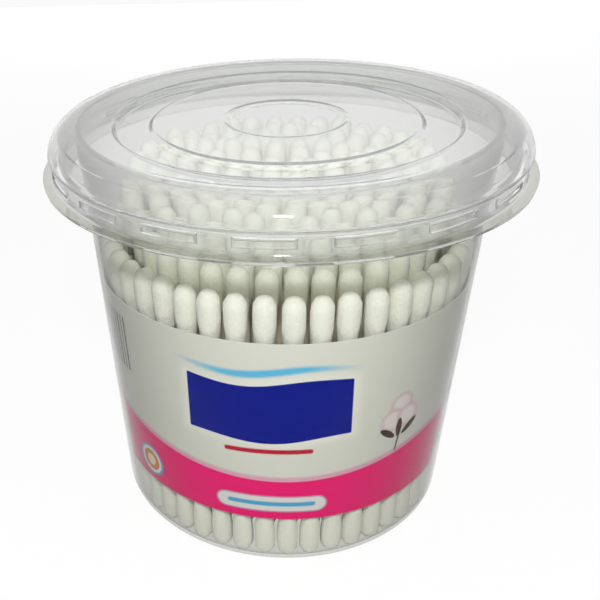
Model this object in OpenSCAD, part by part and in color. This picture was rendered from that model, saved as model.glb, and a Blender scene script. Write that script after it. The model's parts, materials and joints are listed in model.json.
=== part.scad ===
// Tub of cotton swabs: a thin clear tapered tub with a down-turned rim, a clear snap lid
// with a stepped panel, a printed paper liner and two-headed swabs standing in rings.
// The origin is the centre of the tub's foot on the table, with +Z up and the label's front at -Y.

/* [Tub] */
// Lean of the wall from upright, in degrees
wall_taper = 2.83; // [2:0.01:3.6]
// Thickness of the tub's wall
wall_t = 0.8; // [0.6:0.05:1]
// Thickness of the tub's floor
floor_t = 0.8; // [0.6:0.05:1.2]
// Air over the tallest swab, up to the crest of the tub's rim
air_over = 9.45; // [7:0.05:16]
// Radius of the corner between wall and floor
corner_r = 4; // [3.6:0.1:5]
// Width of the foot ring between the corner and the raised middle of the floor
foot_w = 2.3; // [2:0.1:3]
// Height of the raised middle of the floor
raised_h = 1.4; // [1:0.1:1.8]
// Width of the slope round the raised middle
raised_slope = 0.9; // [0.6:0.1:1.2]

/* [Rim] */
// Thickness of the rim and its collar
collar_t = 0.8; // [0.6:0.05:1]
// Drop of the collar's lower edge below the rim's crest
collar_drop = 11.6; // [10.6:0.1:12.4]
// How far the snap bead stands out from the collar
bead_out = 0.6; // [0.4:0.05:0.7]
// Height of the snap bead
bead_h = 1; // [0.6:0.1:1.4]
// Drop from the rim's crest to the middle of the snap bead
bead_drop = 6.2; // [5.8:0.1:6.4]

/* [Lid] */
// Thickness of the lid
lid_t = 0.8; // [0.6:0.05:1]
// Outer radius of the round shoulder's section
shoulder_r = 6.66; // [6.4:0.02:6.9]
// Radius of the circle that the shoulder's crest follows, beyond the wall's top edge
crest_out = 0.3; // [0:0.05:0.6]
// Slope of the lid from the crest in towards the panel, in degrees
crest_slope = 8.4; // [6:0.1:10]
// How far the step down into the panel lies inside the crest
step_in = 8.37; // [7.4:0.01:9.4]
// Depth of the step down into the panel
step_h = 1.55; // [1.2:0.05:1.9]
// Width of the flat channel between the step and the panel's raised disc
channel_w = 7.2; // [6:0.1:9]
// Height of the raised disc
disc_h = 1.2; // [0.8:0.05:1.4]
// Radius of the shallow dish in the middle of the disc
dish_r = 13; // [10:0.5:18]
// Depth of the dish
dish_h = 0.6; // [0.3:0.05:0.9]
// Width of each of the panel's small slopes
slope_w = 0.9; // [0.6:0.1:1.2]
// How far the straight skirt is set in from the shoulder
skirt_in = 0.5; // [0.3:0.05:0.6]
// Angle on the shoulder's section from its widest point up to its lower edge
shoulder_from = 6; // [0:1:10]
// Drop from the shoulder's widest point to the start of the flare
skirt_drop = 4; // [3.6:0.1:4.4]
// Drop of the flare
flare_drop = 1; // [0.8:0.1:1.4]
// Height of the flare's upright rim
flare_lip = 0.7; // [0.5:0.05:0.8]
// How far the flare stands out from the shoulder
flare_out = 1.58; // [1:0.02:2.2]
// Number of snap lugs inside the skirt
lug_count = 18; // [8:1:20]
// Angle that each lug covers, in degrees
lug_angle = 12.5; // [6:0.5:14]
// Height of each lug
lug_h = 1.1; // [0.8:0.1:1.3]

/* [Label] */
// Height of the liner's lower edge
label_z = 14.9; // [12:0.1:18]
// Height of the liner from edge to edge
label_h = 49.9; // [46:0.1:54]
// Thickness of the liner's paper
label_t = 0.2; // [0.15:0.01:0.3]
// Width of the gap between the liner's ends at the back
label_seam = 0.8; // [0.4:0.1:2]
// Height of the coloured band at the front, above the liner's lower edge
band_h = 11.9; // [9:0.1:15]
// Radius of the curve along the band's upper edge
band_curve = 131; // [110:1:200]
// Height of the pale stripe along the band
stripe_h = 1.8; // [1:0.1:3]
// Width of the blue panel
panel_w = 36; // [30:0.5:40]
// Height of the blue panel
panel_h = 15.6; // [14:0.1:18]

/* [Swabs] */
// Length of a swab from tip to tip
swab_len = 73.5; // [68:0.1:78]
// Diameter of a cotton tip
tip_d = 5.2; // [4.8:0.05:5.25]
// Length of a cotton tip
tip_len = 14; // [12:0.1:16]
// Length of a cotton tip that has its full diameter
tip_full = 8.5; // [6:0.1:10]
// Diameter of a stick
stick_d = 2.5; // [2:0.1:2.8]
// Cotton left beyond the end of the stick
tip_cap = 2.2; // [1.5:0.1:3]
// Longest distance that an inner swab stands proud of the others
swab_rise = 2.4; // [0:0.1:3]
// How much higher the inner rings stand at the back than at the front, as they are packed
heap_rise = 11; // [0:0.5:12]
// Distance over which the pack climbs, from the front towards the back
heap_run = 46; // [30:1:60]
// Share of the free space that the swabs' upper ends wander through
wander = 0.8; // [0:0.05:0.9]
// Turn of each ring's first swab on from the last ring's, in degrees
ring_turn = 137; // [0:1:359]

/* [Clearances] */
// Between the rim's crest and the inside of the lid's shoulder
seat_gap = 0.15; // [0.1:0.01:0.25]
// Between the snap bead and the inside of the lid's skirt
skirt_gap = 1.11; // [0.8:0.01:1.4]
// Between the snap bead and the lugs that ride over it
snap_gap = 0.25; // [0.2:0.01:0.3]
// Between the tub's wall and the liner
liner_gap = 0.1; // [0.05:0.01:0.15]
// Between the outer ring of tips and the liner beside it
side_gap = 0.13; // [0.1:0.01:0.3]
// Between the tips of one ring and the next
ring_gap = 0.36; // [0.3:0.01:0.6]
// Between neighbouring tips of a ring
tip_gap = 0.2; // [0.15:0.01:0.25]
// Between a tip and the floor under it
floor_gap = 0.05; // [0.02:0.01:0.1]
// Between a stick and its seat in the cotton
seat_fit = 0.04; // [0.03:0.01:0.06]

/* [Hidden] */

$fn = 96;
clear_colour = [0.86, 0.9, 0.9, 0.35];
paper_colour = [0.93, 0.93, 0.91];
band_colour = [0.85, 0.17, 0.45];
stripe_colour = [0.9, 0.72, 0.82];
panel_colour = [0.02, 0.11, 0.51];
sky_colour = [0.45, 0.76, 0.91];
warm_colour = [0.88, 0.5, 0.2];
rose_colour = [0.93, 0.8, 0.84];
bark_colour = [0.36, 0.22, 0.2];
ink_colour = [0.3, 0.3, 0.32];
cotton_colour = [0.96, 0.96, 0.93];
stick_colour = [0.92, 0.92, 0.87];
arc_steps = 10;
overlap = 0.1;
lug_bevel = 0.3;
tail_share = 0.3;
outer_share = 1 / 6;
outer_rise = swab_rise * outer_share;

// The tub is sized round the pack: seven rings of tips about a middle swab, the liner and the wall
ring_count = 8;
tip_r = tip_d / 2;
ring_step = tip_d + ring_gap;
outer_ring_r = ring_step * (ring_count - 1);
tip_side = tip_r / cos(wall_taper) + side_gap + label_t;
base_r = outer_ring_r + tip_side + (wall_t + liner_gap) / cos(wall_taper) - (floor_t + tip_r) * tan(wall_taper);
raised_foot = raised_h + floor_t + floor_gap;
tub_h = raised_foot + swab_len + swab_rise + heap_rise + air_over;

// The wall: its outer radius at a height, and the points along an arc
function wall_r(z) = base_r + z * tan(wall_taper);
function arc(c, r, from, to) =
    [for (i = [0 : arc_steps]) let (a = from + (to - from) * i / arc_steps) c + r * [cos(a), sin(a)]];
function from_end(list) = [for (i = [len(list) - 1 : -1 : 0]) list[i]];

// The shoulder of the lid is centred over the wall's top edge, and the rim nests inside it
crest_r = wall_r(tub_h) + crest_out;
shoulder_in = shoulder_r - lid_t;
rim_arc_r = shoulder_in - seat_gap;
shoulder_z = tub_h - rim_arc_r;
shoulder_c = [crest_r, shoulder_z];
skirt_r = crest_r + shoulder_r - skirt_in;
bead_r = skirt_r - lid_t - skirt_gap;
collar_r = bead_r - bead_out;
rim_start = 90 + asin((crest_out + wall_t / cos(wall_taper)) / rim_arc_r);
rim_start_in = 90 + asin(crest_out / (rim_arc_r - collar_t));
rim_end = acos((collar_r - crest_r) / rim_arc_r);
rim_end_in = acos((collar_r - collar_t - crest_r) / (rim_arc_r - collar_t));
collar_z = tub_h - collar_drop;
bead_z = tub_h - bead_drop;

// The floor's corner is tangent to the floor and to the tapered wall
corner_x = base_r + corner_r * tan(wall_taper) - corner_r / cos(wall_taper);
corner_in = corner_r - floor_t;
inner_x = wall_r(corner_r) - wall_t / cos(wall_taper) - corner_in / cos(wall_taper);
raised_r = corner_x - foot_w - raised_slope;

// Lid levels, measured down from the crest
skirt_z = shoulder_z - skirt_drop;
skirt_top = shoulder_z + shoulder_r * sin(shoulder_from) - skirt_in;
flare_r = crest_r + shoulder_r + flare_out;
flare_z = skirt_z - flare_drop;
slope_top = shoulder_c + shoulder_r * [-sin(crest_slope), cos(crest_slope)];
step_r = crest_r - step_in;
disc_r = step_r - channel_w - 2 * slope_w;
step_z = slope_top[1] - (slope_top[0] - step_r) * tan(crest_slope);
panel_z = step_z - step_h;
disc_z = panel_z + disc_h;
dish_z = disc_z - dish_h;
lug_r = bead_r + snap_gap;
lug_top = bead_z - bead_h / 2 - snap_gap;

// The liner stands inside the wall
label_top = label_z + label_h;
function liner_r(z) = wall_r(z) - (wall_t + liner_gap) / cos(wall_taper);
front_r = liner_r(label_z + label_h / 2);

// The liner's print: where each field stands, by its turn round the tub and its height
print_depth = 20;
front_turn = -3.5;
front_tilt = 0.6;
panel_mid = 46.7;
wave_rise = 0.8;
wave_len = 34;
wave_steps = 24;
top_wave = 2;
bottom_wave = 8;
sky_over = 3.2;
rule_under = 3.3;
sky_mid = panel_mid + panel_h / 2 + sky_over;
rule_mid = panel_mid - panel_h / 2 - rule_under;
sky_w = 34;
sky_h = 1.4;
sky_taper = 170;
rule_w = 20;
rule_h = 0.8;
pill_mid = 19.9;
pill_shift = 0.7;
pill_w = 20.6;
pill_h = 5.2;
badge_turn = -48;
badge_mid = 21;
badge_r = 4.6;
badge_ring = 1.1;
boll_turn = 38;
boll_mid = 40;
boll_lobes = 3;
boll_spread = 2.4;
lobe_r = 3.4;
leaf_out = 4.8;
leaf_drop = 7.2;
leaf_lean = 25;
leaf_w = 1.8;
leaf_len = 5.4;
bars_turn = -68;
bars_mid = 52;
bar_count = 8;
bar_pitch = 1.5;
bar_w = 0.5;
bar_growth = 0.2;
bar_h = 9;

// The swabs: the outer ring leans out along the liner, with its tips down in the floor's corner
corner_room = max(0, corner_in - tip_r - floor_gap);
corner_reach = max(0, outer_ring_r - inner_x);
corner_z = corner_r - sqrt(max(0, corner_room * corner_room - corner_reach * corner_reach)) - tip_r;
top_spread = swab_len * tan(wall_taper) / outer_ring_r;
free_across = ring_step * (1 + top_spread) - tip_d - tip_gap;

function ring_r(k) = ring_step * (ring_count - k);
function ring_n(k) = k == ring_count ? 1 : floor(180 / asin((tip_d + tip_gap) / (2 * ring_r(k))));
function pitch(k) = 2 * ring_r(k) * sin(180 / ring_n(k));
function free_along(k) = k == ring_count ? 0 : pitch(k) * (1 + top_spread) - tip_d - tip_gap;
function rise(k) = k == 1 ? outer_rise : swab_rise;
function lower_z(k) = k == 1 ? max(corner_z, floor_t + floor_gap) : raised_foot;

// The inner swabs are wedged by their neighbours: the pack climbs in a smooth slope from the front
function smooth(t) = t * t * (3 - 2 * t);
function climb(y) = smooth(min(1, max(0, (y + outer_ring_r) / heap_run)));
function heap(k, turn) = k == 1 ? 0 : heap_rise * climb(ring_r(k) * sin(turn));

// Tub: foot, corner, tapered wall and down-turned rim in one revolved section
module tub() {
    outer = concat(
        [[raised_r + raised_slope, 0]],
        arc([corner_x, corner_r], corner_r, -90, -wall_taper),
        arc(shoulder_c, rim_arc_r - collar_t, rim_start_in, rim_end_in),
        [[collar_r - collar_t, collar_z], [collar_r, collar_z]],
        [
            [collar_r, bead_z - bead_h], [bead_r, bead_z - bead_h / 2],
            [bead_r, bead_z + bead_h / 2], [collar_r, bead_z + bead_h]
        ],
        arc(shoulder_c, rim_arc_r, rim_end, rim_start)
    );
    inner = concat(
        from_end(arc([inner_x, corner_r], corner_in, -90, -wall_taper)),
        [
            [raised_r + raised_slope, floor_t], [raised_r, floor_t + raised_h], [0, floor_t + raised_h],
            [0, raised_h], [raised_r, raised_h]
        ]
    );
    color(clear_colour) rotate_extrude() polygon(concat(outer, inner));
}

// Lid: flare, skirt, round shoulder and stepped panel in one revolved section, with snap lugs
module lid() {
    top = concat(
        [[flare_r, flare_z], [flare_r, flare_z + flare_lip]],
        [[skirt_r, skirt_z], [skirt_r, skirt_top]],
        arc(shoulder_c, shoulder_r, shoulder_from, 90 + crest_slope),
        [
            [step_r, step_z], [step_r - slope_w, panel_z],
            [disc_r + slope_w, panel_z], [disc_r, disc_z],
            [dish_r + slope_w, disc_z], [dish_r, dish_z], [0, dish_z]
        ]
    );
    under = concat(
        [
            [0, dish_z - lid_t], [dish_r + lid_t / 2, dish_z - lid_t],
            [dish_r + slope_w + lid_t / 2, disc_z - lid_t],
            [disc_r - lid_t / 2, disc_z - lid_t],
            [disc_r + slope_w - lid_t / 2, panel_z - lid_t],
            [step_r - slope_w + lid_t / 2, panel_z - lid_t],
            [step_r + lid_t / 2, step_z - lid_t]
        ],
        from_end(arc(shoulder_c, shoulder_in, shoulder_from, 90 + crest_slope)),
        [[skirt_r - lid_t, skirt_top], [skirt_r - lid_t, skirt_z - lid_t / 2]]
    );
    color(clear_colour) {
        rotate_extrude() polygon(concat(top, under));
        for (i = [0 : lug_count - 1]) rotate(360 * i / lug_count) lug();
    }
}

// Lug: a short rib inside the skirt, sloped above and below so that it can ride over the bead
module lug() {
    rotate_extrude(angle = lug_angle) polygon([
        [skirt_r - lid_t + overlap, lug_top - lug_h], [lug_r, lug_top - lug_h * (1 - lug_bevel)],
        [lug_r, lug_top - lug_h * lug_bevel], [skirt_r - lid_t + overlap, lug_top]
    ]);
}

// Liner: one rolled sheet, open at the back, with its printed fields in their colours
module label() {
    color(paper_colour) difference() {
        liner_sheet();
        lower_band(band_h + stripe_h);
        side_print(front_turn) front_shapes();
        side_print(boll_turn) boll_shape();
        side_print(boll_turn) leaf_shape();
        side_print(bars_turn) bars_shape();
    }
    color(stripe_colour) intersection() {
        liner_sheet();
        difference() {
            lower_band(band_h + stripe_h);
            lower_band(band_h);
        }
    }
    color(band_colour) intersection() {
        liner_sheet();
        difference() {
            lower_band(band_h);
            side_print(front_turn) pill_shape();
            side_print(badge_turn) badge_shape(0);
        }
    }
    color(paper_colour) printed(front_turn) pill_shape();
    color(panel_colour) printed(front_turn) panel_shape();
    color(sky_colour) printed(front_turn) sky_shape();
    color(band_colour) printed(front_turn) rule_shape();
    color(sky_colour) printed(badge_turn) difference() {
        badge_shape(0);
        badge_shape(badge_ring);
    }
    color(paper_colour) printed(badge_turn) difference() {
        badge_shape(badge_ring);
        badge_shape(2 * badge_ring);
    }
    color(warm_colour) printed(badge_turn) badge_shape(2 * badge_ring);
    color(rose_colour) printed(boll_turn) boll_shape();
    color(bark_colour) printed(boll_turn) leaf_shape();
    color(ink_colour) printed(bars_turn) bars_shape();
}

module liner_sheet() {
    difference() {
        rotate_extrude() polygon([
            [liner_r(label_z) - label_t, label_z], [liner_r(label_z), label_z],
            [liner_r(label_top), label_top], [liner_r(label_top) - label_t, label_top]
        ]);
        translate([-label_seam / 2, 0, label_z - overlap])
            cube([label_seam, 2 * base_r, label_h + 2 * overlap]);
    }
}

// Everything under a long curve that rises towards both sides
module lower_band(h) {
    difference() {
        translate([-2 * base_r, -2 * base_r, 0]) cube([4 * base_r, 4 * base_r, label_z + label_h / 2]);
        translate([0, 0, label_z + h + band_curve]) rotate([90, 0, 0])
            cylinder(r = band_curve, h = 4 * base_r, center = true);
    }
}

// A flat shape carried straight in through the side of the liner at one turn round the tub
module side_print(turn) {
    rotate(turn) translate([0, -front_r + print_depth / 2, 0]) rotate([90, 0, 0])
        linear_extrude(print_depth) children();
}

module printed(turn) {
    intersection() {
        liner_sheet();
        side_print(turn) children();
    }
}

module front_shapes() {
    panel_shape();
    sky_shape();
    rule_shape();
}

// The panel's long edges, and the stroke over it, run in gentle waves that rise from a given place
function wave(x, y, rise_from) = [x, y + wave_rise * sin(360 * (x - rise_from) / wave_len)];

module panel_shape() {
    left_to_right = [for (i = [0 : wave_steps]) panel_w * (i / wave_steps - 1 / 2)];
    translate([0, panel_mid]) rotate(front_tilt) polygon(concat(
        [for (x = left_to_right) wave(x, panel_h / 2, top_wave)],
        [for (x = from_end(left_to_right)) wave(x, -panel_h / 2, bottom_wave)]
    ));
}

// A stroke with pointed ends, thickest in its middle
module sky_shape() {
    left_to_right = [for (i = [0 : wave_steps]) sky_w * (i / wave_steps - 1 / 2)];
    translate([0, sky_mid]) rotate(front_tilt) polygon(concat(
        [for (x = left_to_right) wave(x, sky_h / 2 * cos(sky_taper * x / sky_w), top_wave)],
        [for (x = from_end(left_to_right)) wave(x, -sky_h / 2 * cos(sky_taper * x / sky_w), top_wave)]
    ));
}

module rule_shape() {
    translate([0, rule_mid]) rotate(front_tilt) square([rule_w, rule_h], center = true);
}

module pill_shape() {
    translate([pill_shift, pill_mid]) {
        square([pill_w, pill_h], center = true);
        for (x = [-1, 1]) translate([x * pill_w / 2, 0]) circle(pill_h / 2);
    }
}

module badge_shape(inset) {
    translate([0, badge_mid]) circle(badge_r - inset);
}

module boll_shape() {
    translate([0, boll_mid]) for (i = [0 : boll_lobes - 1]) rotate(90 + 360 * i / boll_lobes)
        translate([boll_spread, 0]) circle(lobe_r);
}

module leaf_shape() {
    translate([0, boll_mid - leaf_drop]) for (x = [-1, 1]) translate([x * leaf_out, 0])
        rotate(x * leaf_lean) square([leaf_w, leaf_len], center = true);
}

module bars_shape() {
    translate([0, bars_mid]) for (i = [0 : bar_count - 1]) translate([(i - bar_count / 2) * bar_pitch, 0])
        square([bar_w + i % 3 * bar_growth, bar_h], center = true);
}

// One swab's place: its foot on the ring, its lean out along the wall and its own small wander
module at_swab(k, i) {
    seeds = rands(-1, 1, 3 * ring_n(k), k);
    turn = ring_turn * k + 360 * i / ring_n(k);
    across = k == 1 ? -abs(seeds[3 * i]) : seeds[3 * i];
    lean_out = ring_r(k) * top_spread + across * wander * free_across / 2;
    lean_along = seeds[3 * i + 1] * wander * free_along(k) / 2;
    lift = pow(seeds[3 * i + 2], 2) * rise(k) + heap(k, turn);
    rotate(turn) translate([ring_r(k), 0, lower_z(k) + tip_r + lift])
        rotate([-atan(lean_along / swab_len), atan(lean_out / swab_len), 0])
            translate([0, 0, -tip_r]) children();
}

module sticks(k) {
    color(stick_colour) for (i = [0 : ring_n(k) - 1]) at_swab(k, i)
        translate([0, 0, tip_cap]) cylinder(d = stick_d, h = swab_len - 2 * tip_cap);
}

module lower_tips(k) {
    color(cotton_colour) for (i = [0 : ring_n(k) - 1]) at_swab(k, i) tip();
}

module upper_tips(k) {
    color(cotton_colour) for (i = [0 : ring_n(k) - 1]) at_swab(k, i)
        translate([0, 0, swab_len]) mirror([0, 0, 1]) tip();
}

// Tip: cotton wound over the stick's end, with a round nose and a tapered tail
module tip() {
    seat_r = stick_d / 2 + seat_fit;
    tail_r = seat_r + (tip_r - seat_r) * tail_share;
    rotate_extrude() difference() {
        union() {
            intersection() {
                translate([0, tip_r]) circle(tip_r);
                square([tip_r, tip_r]);
            }
            polygon([[0, tip_r], [tip_r, tip_r], [tip_r, tip_full], [tail_r, tip_len], [0, tip_len]]);
        }
        translate([0, tip_cap]) square([seat_r, tip_len]);
    }
}

tub();
lid();
label();
sticks(1);  // ring_1_sticks
lower_tips(1);  // ring_1_lower_tips
upper_tips(1);  // ring_1_upper_tips
sticks(2);  // ring_2_sticks
lower_tips(2);  // ring_2_lower_tips
upper_tips(2);  // ring_2_upper_tips
sticks(3);  // ring_3_sticks
lower_tips(3);  // ring_3_lower_tips
upper_tips(3);  // ring_3_upper_tips
sticks(4);  // ring_4_sticks
lower_tips(4);  // ring_4_lower_tips
upper_tips(4);  // ring_4_upper_tips
sticks(5);  // ring_5_sticks
lower_tips(5);  // ring_5_lower_tips
upper_tips(5);  // ring_5_upper_tips
sticks(6);  // ring_6_sticks
lower_tips(6);  // ring_6_lower_tips
upper_tips(6);  // ring_6_upper_tips
sticks(7);  // ring_7_sticks
lower_tips(7);  // ring_7_lower_tips
upper_tips(7);  // ring_7_upper_tips
sticks(ring_count);  // centre_stick
lower_tips(ring_count);  // centre_lower_tip
upper_tips(ring_count);  // centre_upper_tip
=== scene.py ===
"""Looks of a cotton swab tub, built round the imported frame.

A clear tapered tub holds upright two-headed swabs in rings. A printed paper liner stands inside its wall, and a
clear stepped lid snaps over its rim. Every piece is modelled in millimetres in the frame's own axes, with +Z up and
the middle of the liner's front at -Y, and is brought to metres once, when it is finished.
"""

import json
import logging
import math
import random
from dataclasses import dataclass
from enum import Enum
from typing import Any

import bmesh
import bpy
import numpy as np
from mathutils import Matrix, Vector

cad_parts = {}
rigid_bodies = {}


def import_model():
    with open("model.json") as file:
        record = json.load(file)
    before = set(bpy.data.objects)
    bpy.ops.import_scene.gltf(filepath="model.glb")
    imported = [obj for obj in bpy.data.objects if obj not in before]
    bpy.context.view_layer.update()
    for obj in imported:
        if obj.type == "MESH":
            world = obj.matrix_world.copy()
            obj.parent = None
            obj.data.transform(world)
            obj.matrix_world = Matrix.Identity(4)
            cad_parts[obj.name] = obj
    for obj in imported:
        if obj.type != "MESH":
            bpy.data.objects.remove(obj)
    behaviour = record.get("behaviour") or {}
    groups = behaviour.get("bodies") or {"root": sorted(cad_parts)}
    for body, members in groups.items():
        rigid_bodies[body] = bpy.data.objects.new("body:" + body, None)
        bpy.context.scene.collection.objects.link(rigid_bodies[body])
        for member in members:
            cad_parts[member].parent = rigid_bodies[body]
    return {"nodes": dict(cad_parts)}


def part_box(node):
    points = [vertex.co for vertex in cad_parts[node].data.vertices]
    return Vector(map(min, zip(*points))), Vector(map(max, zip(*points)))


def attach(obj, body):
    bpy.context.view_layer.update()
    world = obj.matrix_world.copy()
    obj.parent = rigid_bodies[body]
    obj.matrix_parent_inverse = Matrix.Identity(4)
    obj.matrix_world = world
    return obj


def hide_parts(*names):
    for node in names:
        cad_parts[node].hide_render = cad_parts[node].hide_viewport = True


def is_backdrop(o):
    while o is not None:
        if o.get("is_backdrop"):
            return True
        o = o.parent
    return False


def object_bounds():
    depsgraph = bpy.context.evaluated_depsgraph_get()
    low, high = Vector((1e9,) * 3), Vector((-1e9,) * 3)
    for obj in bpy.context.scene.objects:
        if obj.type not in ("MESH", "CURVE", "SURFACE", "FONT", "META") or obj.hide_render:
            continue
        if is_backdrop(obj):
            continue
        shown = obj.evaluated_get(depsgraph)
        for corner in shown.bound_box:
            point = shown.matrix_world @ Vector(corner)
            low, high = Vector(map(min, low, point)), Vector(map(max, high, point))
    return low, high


LOG = logging.getLogger("swab_tub")
MM = 0.001
FULL_TURN = 2 * math.pi
# Vertices nearer than this are one, in millimetres
MERGE_DISTANCE = 1e-4
# Sockets of a Mix node that mixes colours
MIX_A, MIX_B, MIX_RESULT = 6, 7, 2
# A span so long that the distance along it counts for nothing
FLATTEN = 1e3
# Enough for light to cross all the walls and sheets in one line of sight
LIGHT_BOUNCES = {
    "max_bounces": 24,
    "diffuse_bounces": 12,
    "transmission_bounces": 24,
    "transparent_max_bounces": 32,
}

Colour = tuple[float, float, float, float]
Tree = bpy.types.NodeTree
Socket = bpy.types.NodeSocket
Mesh = bmesh.types.BMesh


def linear(code: str) -> Colour:
    """Turns an sRGB hex value to a linear colour.

    Args:
        code: Six hex digits, with or without a leading #.

    Returns:
        Linear red, green and blue, and an alpha of 1.
    """
    channels = [int(code.lstrip("#")[i : i + 2], 16) / 255 for i in (0, 2, 4)]
    red, green, blue = (c / 12.92 if c <= 0.04045 else ((c + 0.055) / 1.055) ** 2.4 for c in channels)
    return red, green, blue, 1.0


def add_node(tree: Tree, kind: str, inputs: dict[str | int, Any] | None = None, **settings: Any) -> bpy.types.Node:
    """Adds a node with its settings, and sets or links its inputs.

    Args:
        tree: The node tree that gets the node.
        kind: The node's type, without the word ShaderNode.
        inputs: Input name or number, and either a value or the output socket that feeds it.
        settings: The node's own properties.

    Returns:
        The new node.
    """
    node = tree.nodes.new("ShaderNode" + kind)
    for name, value in settings.items():
        setattr(node, name, value)
    for key, value in (inputs or {}).items():
        if isinstance(value, Socket):
            tree.links.new(value, node.inputs[key])
        else:
            node.inputs[key].default_value = value
    return node


def mixed(tree: Tree, share: Socket, under: Socket | Colour, over: Colour) -> Socket:
    """Lays one colour over another.

    Args:
        tree: The node tree that gets the node.
        share: Share of the upper colour at each point.
        under: The lower colour.
        over: The upper colour.

    Returns:
        The new colour.
    """
    inputs = {"Factor": share, MIX_A: under, MIX_B: over}
    return add_node(tree, "Mix", inputs, data_type="RGBA").outputs[MIX_RESULT]


class Finish:
    """A material that is made once and shared by the pieces that have it.

    Attributes:
        name: The material's name.
    """

    name: str

    def material(self) -> bpy.types.Material:
        """Gives the finish's material, and makes it the first time.

        Returns:
            The Blender material.
        """
        found = bpy.data.materials.get(self.name)
        if found:
            return found
        made = bpy.data.materials.new(self.name)
        made.use_nodes = True
        made.node_tree.nodes.clear()
        surface = self.surface(made.node_tree)
        add_node(made.node_tree, "OutputMaterial", {"Surface": surface})
        return made

    def surface(self, tree: Tree) -> Socket:
        """Builds the shader nodes and gives the output that reaches the surface."""
        raise NotImplementedError


@dataclass(frozen=True)
class ClearPlastic(Finish):
    """Clear thin-wall plastic, formed in a polished mould: glossy, faintly wavy, and darker seen edge on.

    Attributes:
        name: The material's name.
        tint: Colour that the light takes on through one wall, seen square on.
        edge: Colour of the wall seen edge on, partly for the longer path through it and partly painted shade that
            darkens the tub's sides and the lid's slopes.
        edge_tint_and_shade_power: How late that colour comes in as the wall turns away.
        rim: Grey of the flare at its height, which also tints the lamp light that passes it and so paints the flare's
            shadow on what lies below.
        rim_mm: Heights over which the rim's colour comes in, from above.
        haze: Share of the light that each surface scatters, as milky sheet does.
        gloss: Roughness of the moulded surface.
        ior: Index of refraction of the plastic.
        lets_by: Colour of the share of lamp light that passes one surface.
        wave_mm: Length of the shallow waves that the cooling left.
        wave_depth: Strength of those waves.
    """

    name: str
    tint: str
    edge: str
    edge_tint_and_shade_power: float
    rim: str = ""
    rim_mm: tuple[float, float] = (0.0, 0.0)
    haze: float = 0.0
    gloss: float = 0.03
    ior: float = 1.49
    lets_by: str = "F6F7F5"
    wave_mm: float = 14.0
    wave_depth: float = 0.08

    def surface(self, tree: Tree) -> Socket:
        """Builds clear plastic that lamps shine through.

        Args:
            tree: The material's node tree.

        Returns:
            The shader output.
        """
        place = add_node(tree, "TexCoord").outputs["Object"]
        waves = add_node(tree, "TexNoise", {"Vector": place, "Scale": 1 / (self.wave_mm * MM), "Detail": 1.0})
        bump = add_node(tree, "Bump", {"Height": waves.outputs["Fac"], "Strength": self.wave_depth, "Distance": MM})
        facing = add_node(tree, "LayerWeight", {"Blend": 0.5}).outputs["Facing"]
        # Darkening seen edge on: partly the longer path through the wall, partly painted shade.
        edge_tint_and_shade = add_node(tree, "Math", {0: facing, 1: self.edge_tint_and_shade_power}, operation="POWER")
        clear = mixed(tree, edge_tint_and_shade.outputs[0], linear(self.tint), linear(self.edge))
        plastic = add_node(
            tree,
            "BsdfPrincipled",
            {
                "Base Color": self.with_rim_grey_and_shadow(tree, place, clear),
                "Roughness": self.gloss,
                "IOR": self.ior,
                "Transmission Weight": 1 - self.haze,
                "Normal": bump.outputs["Normal"],
            },
        )
        # The rim's grey in the light that passes paints the flare's shadow on the tips below.
        passed = add_node(tree, "BsdfTransparent", {"Color": self.with_rim_grey_and_shadow(tree, place, linear(self.lets_by))})
        ray = add_node(tree, "LightPath").outputs
        light = add_node(tree, "Math", {0: ray["Is Shadow Ray"], 1: ray["Is Diffuse Ray"]}, operation="MAXIMUM")
        shaders = {0: light.outputs[0], 1: plastic.outputs[0], 2: passed.outputs[0]}
        return add_node(tree, "MixShader", shaders).outputs[0]

    def with_rim_grey_and_shadow(self, tree: Tree, place: Socket, colour: Socket | Colour) -> Socket | Colour:
        """Brings the rim's colour in at its height, where the sheet has such a rim.

        Args:
            tree: The material's node tree.
            place: Object coordinates.
            colour: The colour of the clear sheet, or of the lamp light that passes it, where the rim's grey paints the
                flare's shadow.

        Returns:
            The colour with the rim's in it.
        """
        if not self.rim:
            return colour
        height = add_node(tree, "SeparateXYZ", {0: place}).outputs["Z"]
        start, end = (z * MM for z in self.rim_mm)
        share = add_node(tree, "MapRange", {"Value": height, "From Min": start, "From Max": end})
        return mixed(tree, share.outputs[0], colour, linear(self.rim))


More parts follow.
